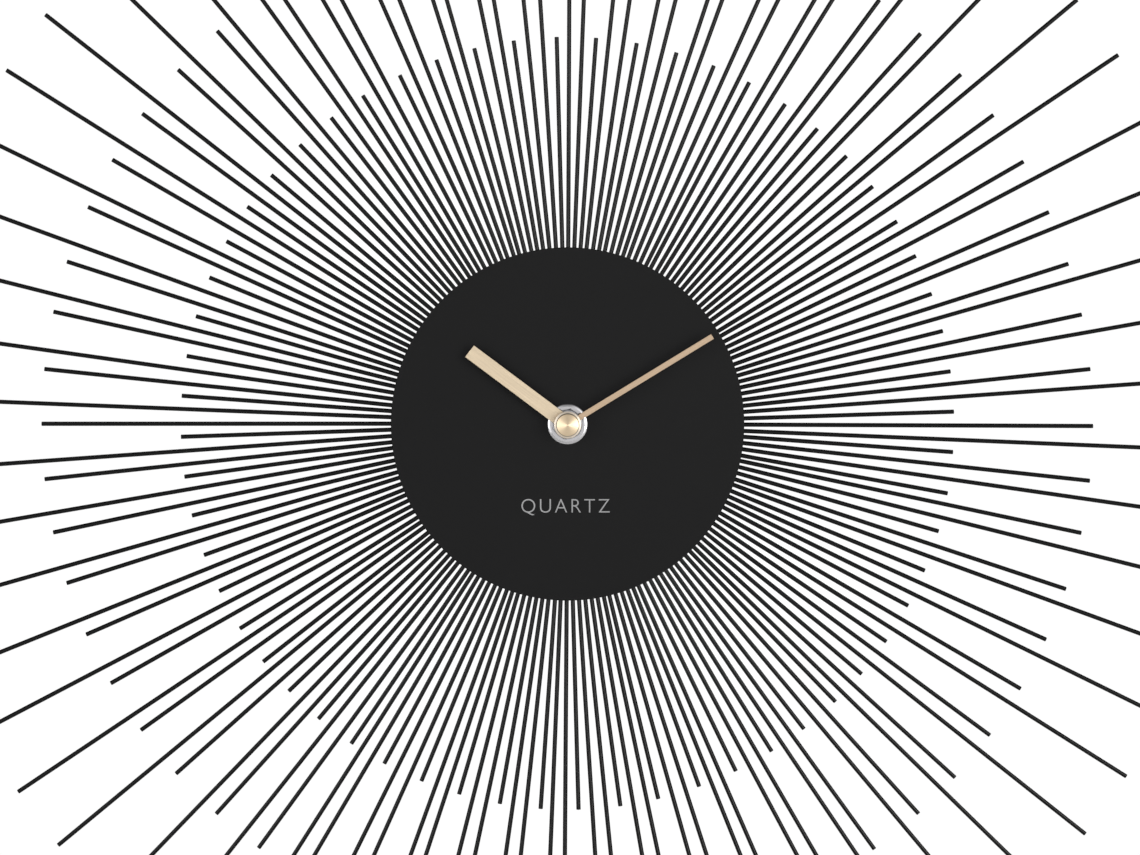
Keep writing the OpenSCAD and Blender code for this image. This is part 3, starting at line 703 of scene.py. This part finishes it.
cap_profile = fillet([(0, -17.2), (1.28, -16.9), (1.28, -13.9), (6.15, -13.9), (6.15, -14.9), (5.1, -14.9), (5.1, -18.36), (0, -19)],
                     0.1, {3: 0.18, 4: 0.22, 5: 0.06, 6: 0.3}, 6, closed=False)
v, f = lathe(cap_profile, segs=192)
piece("cap", v, f, "minute", "cap_brass", replaces=["cap_nut"])

# ---------------------------------------------------------------- marks on the back

# spot weld marks on the carrier, one low dome per ray in two rows, clear of the feet and the hanger
dome, marks = [(0.95, 2.521), (0.95, 2.53), (0.72, 2.60), (0.36, 2.63), (0, 2.635)], []
for i in range(180):
    for r in (67.5, 71.6):
        a = rad(2 * i + TURN)
        x, z = r * math.cos(a), r * math.sin(a)
        if (abs(x) < 28.5 and 51 < z) or math.hypot(abs(x) - 45.25, z + 45.25) < 7.6:
            continue
        marks.append(lathe([(0, 2.521)] + dome, (x, z), 12))
v, f = join(marks)
piece("weld_marks", v, f, "clock", "black_steel", coated("weld_tint", (0.045, 0.042, 0.040), 0.36, 1600, 0.000014, 0.3, 0.08))

# raised marks on the movement's cover: setting arrows round the knob, battery poles, a plain framed field
KNOB = (17.2727, 5.6881)


def arrow_loop(a0, a1, r_in, r_out):
    mid, steps = (r_in + r_out) / 2, 18
    at = lambda r, a: (KNOB[0] + r * math.cos(rad(a)), KNOB[1] + r * math.sin(rad(a)))
    neck = a1 - math.copysign(11, a1 - a0)
    sweep = [a0 + (neck - a0) * k / steps for k in range(steps + 1)]
    return [at(r_out, a) for a in sweep] + [at(r_out + 0.75, neck), at(mid, a1), at(r_in - 0.75, neck)] + [at(r_in, a) for a in reversed(sweep)]


def box_loop(x, z, w, h):
    return [(x - w / 2, z - h / 2), (x + w / 2, z - h / 2), (x + w / 2, z + h / 2), (x - w / 2, z + h / 2)]


def plus_loop(x, z, s, t):
    return [(x - s, z - t), (x - t, z - t), (x - t, z - s), (x + t, z - s), (x + t, z - t), (x + s, z - t),
            (x + s, z + t), (x + t, z + t), (x + t, z + s), (x - t, z + s), (x - t, z + t), (x - s, z + t)]


MARKS = coated("case_marks", (0.10, 0.10, 0.10), 0.40, 1700, 0.00001, 0.15, 0.05)
for name, loops in (("mark_turn_left", [arrow_loop(97, 163, 8.5, 9.5)]), ("mark_turn_right", [arrow_loop(83, 17, 8.5, 9.5)]),
                    ("mark_plus", [plus_loop(21.5, -8.6, 1.5, 0.32)]), ("mark_minus", [box_loop(-21.5, -8.6, 3.0, 0.64)]),
                    ("mark_field", [fillet(box_loop(-10.5, 13.5, 24, 15), 1.2), fillet(box_loop(-10.5, 13.5, 22.8, 13.8), 0.8)])):
    sheet_piece(name, loops, 15.805, 16.03, 0.06, "clock", "case_plastic", MARKS)

# ---------------------------------------------------------------- every CAD node that stays: rolled edges and its material

BEVEL = {"case_front": 0.35, "case_back": 0.3, "hanger_bracket": 0.3, "carrier_ring": 0.15, "setting_knob": 0.12, "standoffs": 0.25,
         "wall_pads": 0.25, "stud_nuts": 0.12, "battery": 0}
for name, ob in NODES.items():
    if ob.hide_render:
        continue
    paint(ob, MAT[SLOT_OF[name]])
    for p in ob.data.polygons:
        p.use_smooth = True
    weld = ob.modifiers.new("weld", "WELD")
    weld.merge_threshold = 2e-6
    width = BEVEL.get(name, 0.05)
    if width:
        bev = ob.modifiers.new("edges", "BEVEL")
        bev.width = width * MM
        bev.segments = 2
        bev.limit_method = "ANGLE"
        bev.angle_limit = rad(35)
        bev.use_clamp_overlap = True
    wn = ob.modifiers.new("normals", "WEIGHTED_NORMAL")
    wn.weight = 60

# ---------------------------------------------------------------- floor

fm, ft, fb = nodes_of("floor")
fv = coords(ft)
ft.links.new(two_tone(ft, noise(ft, fv, 3), (0.80, 0.80, 0.795), (0.84, 0.84, 0.835)), fb.inputs["Base Color"])
ft.links.new(remap(ft, noise(ft, fv, 40), 0.55, 0.65), fb.inputs["Roughness"])
fverts, ffaces = [(0, 0, 0)], []
for ring_i, rr in enumerate([0.5, 1.0, 1.3]):
    for k in range(96):
        fverts.append((rr * math.cos(2 * math.pi * k / 96), rr * math.sin(2 * math.pi * k / 96), 0))
for k in range(96):
    ffaces.append((0, 1 + k, 1 + (k + 1) % 96))
    for r_i in range(2):
        a, b = 1 + r_i * 96, 1 + (r_i + 1) * 96
        ffaces.append((a + k, b + k, b + (k + 1) % 96, a + (k + 1) % 96))
fme = bpy.data.meshes.new("floor")
fme.from_pydata(fverts, [], ffaces)
floor = bpy.data.objects.new("floor", fme)
scene.collection.objects.link(floor)
floor.location = (0, 0, -0.40)
floor.data.materials.append(fm)

bpy.context.view_layer.update()
